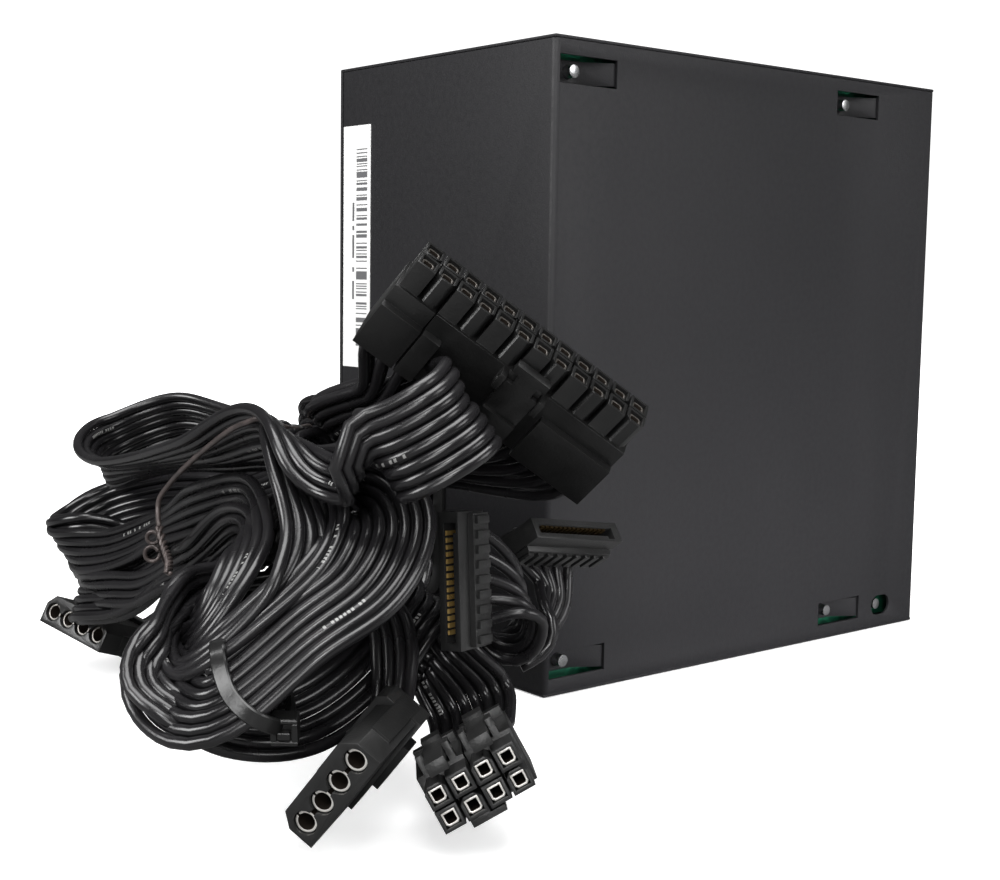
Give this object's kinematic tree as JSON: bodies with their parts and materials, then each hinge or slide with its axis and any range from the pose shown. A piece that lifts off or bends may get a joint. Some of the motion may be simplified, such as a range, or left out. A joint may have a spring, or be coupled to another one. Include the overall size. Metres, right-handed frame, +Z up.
{
  "type": "computer power supply",
  "caption": "Computer power supply: folded black steel case with side fan, rear inlet and switch, and a tied bundle of flat black cables ending in board, processor and drive plugs.",
  "frame": {"origin": "centre of the standing case footprint, on the floor plane", "axes": "+X along the depth, from the cable face towards the rear panel; +Y towards the fan face; +Z up along the width, as the case stands"},
  "size_m": [0.2651, 0.1827, 0.1501],
  "materials": {
    "case_paint": "matt powder coat",
    "black_screws": "black oxide",
    "black_nylon": "satin moulding",
    "label_paper": "plain",
    "fan_plastic": "satin",
    "sintered_bronze": "matt",
    "winding_copper": "enamelled",
    "ferrite": "matt",
    "bright_steel": "satin",
    "guard_wire": "black plated",
    "wire_pvc": "gloss",
    "rocker_plastic": "gloss",
    "tinned_metal": "bright",
    "board_green": "solder mask",
    "clear_film": "satin",
    "heatsink_aluminium": "milled",
    "winding_tape": "tape",
    "capacitor_sleeve": "sleeve",
    "film_capacitor": "gloss",
    "device_epoxy": "moulded",
    "fuse_ceramic": "glazed",
    "comb_nylon": "plain",
    "gold_plate": "bright",
    "tie_paper": "waxed"
  },
  "bodies": {
    "case": {"case_base": "case_paint", "case_cover": "case_paint", "cover_screws": "black_screws", "exit_grommet": "black_nylon", "labels": "label_paper", "fan_frame": "fan_plastic", "fan_bearing": "sintered_bronze", "fan_stator": "winding_copper", "fan_screws": "black_screws", "fan_guard": "guard_wire", "fan_cable": "wire_pvc", "ac_inlet": "black_nylon", "switch_bezel": "black_nylon", "panel_terminals": "tinned_metal", "circuit_board": "board_green", "board_screws": "bright_steel", "insulator_sheet": "clear_film", "primary_heatsink": "heatsink_aluminium", "secondary_heatsink": "heatsink_aluminium", "main_transformer": "winding_tape", "transformer_core": "ferrite", "standby_transformer": "winding_tape", "electrolytic_capacitors": "capacitor_sleeve", "wound_chokes": "winding_copper", "x_capacitors": "film_capacitor", "power_devices": "device_epoxy", "line_fuse": "fuse_ceramic", "wire_comb": "comb_nylon", "mains_wires": "wire_pvc", "main_connector": "black_nylon", "cpu_connector_a": "black_nylon", "graphics_connector": "black_nylon", "drive_connector_a": "black_nylon", "drive_connector_b": "black_nylon", "storage_connector_a": "black_nylon", "storage_connector_b": "black_nylon", "crimp_terminals": "tinned_metal", "storage_contacts": "gold_plate", "main_cable": "wire_pvc", "cpu_cable": "wire_pvc", "graphics_cable": "wire_pvc", "storage_cable": "wire_pvc", "drive_cable_a": "wire_pvc", "drive_cable_b": "wire_pvc", "zip_tie": "black_nylon", "twist_tie": "tie_paper"},
    "fan": {"fan_rotor": "fan_plastic", "fan_magnet": "ferrite", "fan_shaft": "bright_steel"},
    "rocker": {"rocker": "rocker_plastic"},
    "main_latch": {"main_latch": "black_nylon"},
    "four_pin": {"four_pin_block": "black_nylon", "four_pin_terminals": "tinned_metal"},
    "cpu_b": {"cpu_connector_b": "black_nylon", "cpu_terminals_b": "tinned_metal"},
    "cpu_latch_a": {"cpu_latch_a": "black_nylon"},
    "cpu_latch_b": {"cpu_latch_b": "black_nylon"},
    "graphics_latch": {"graphics_latch": "black_nylon"},
    "two_pin": {"two_pin_block": "black_nylon", "two_pin_terminals": "tinned_metal"}
  },
  "joints": [
    {"name": "fan_spin", "type": "hinge", "parent": "case", "child": "fan", "pos_m": [0, 0.027, 0.075], "axis": [0, 1, 0], "continuous": true},
    {"name": "switch_rock", "type": "hinge", "parent": "case", "child": "rocker", "pos_m": [0.066, 0.02, 0.124], "axis": [0, 1, 0], "range_deg": [0, 14]},
    {"name": "main_latch_press", "type": "hinge", "parent": "case", "child": "main_latch", "pos_m": [-0.12283, -0.09513, 0.07609], "axis": [0.6959, -0.4165, -0.585], "range_deg": [0, 7]},
    {"name": "four_pin_split", "type": "slide", "parent": "case", "child": "four_pin", "axis": [0.1363, -0.7231, 0.6771], "range_m": [0, 0.006]},
    {"name": "cpu_half_split", "type": "slide", "parent": "case", "child": "cpu_b", "axis": [-0.5799, -0.8107, 0.0808], "range_m": [0, 0.006]},
    {"name": "cpu_latch_a_press", "type": "hinge", "parent": "case", "child": "cpu_latch_a", "pos_m": [-0.14345, -0.11032, 0.02221], "axis": [-0.7335, 0.4764, -0.4848], "range_deg": [0, 7]},
    {"name": "cpu_latch_b_press", "type": "hinge", "parent": "cpu_b", "child": "cpu_latch_b", "pos_m": [-0.14932, -0.10651, 0.01834], "axis": [-0.7335, 0.4764, -0.4848], "range_deg": [0, 7]},
    {"name": "graphics_latch_press", "type": "hinge", "parent": "case", "child": "graphics_latch", "pos_m": [-0.10437, -0.00338, 0.0147], "axis": [0.809, -0.5878, 0], "range_deg": [0, 7]},
    {"name": "two_pin_split", "type": "slide", "parent": "case", "child": "two_pin", "axis": [0.5878, 0.809, 0], "range_m": [0, 0.006]}
  ]
}
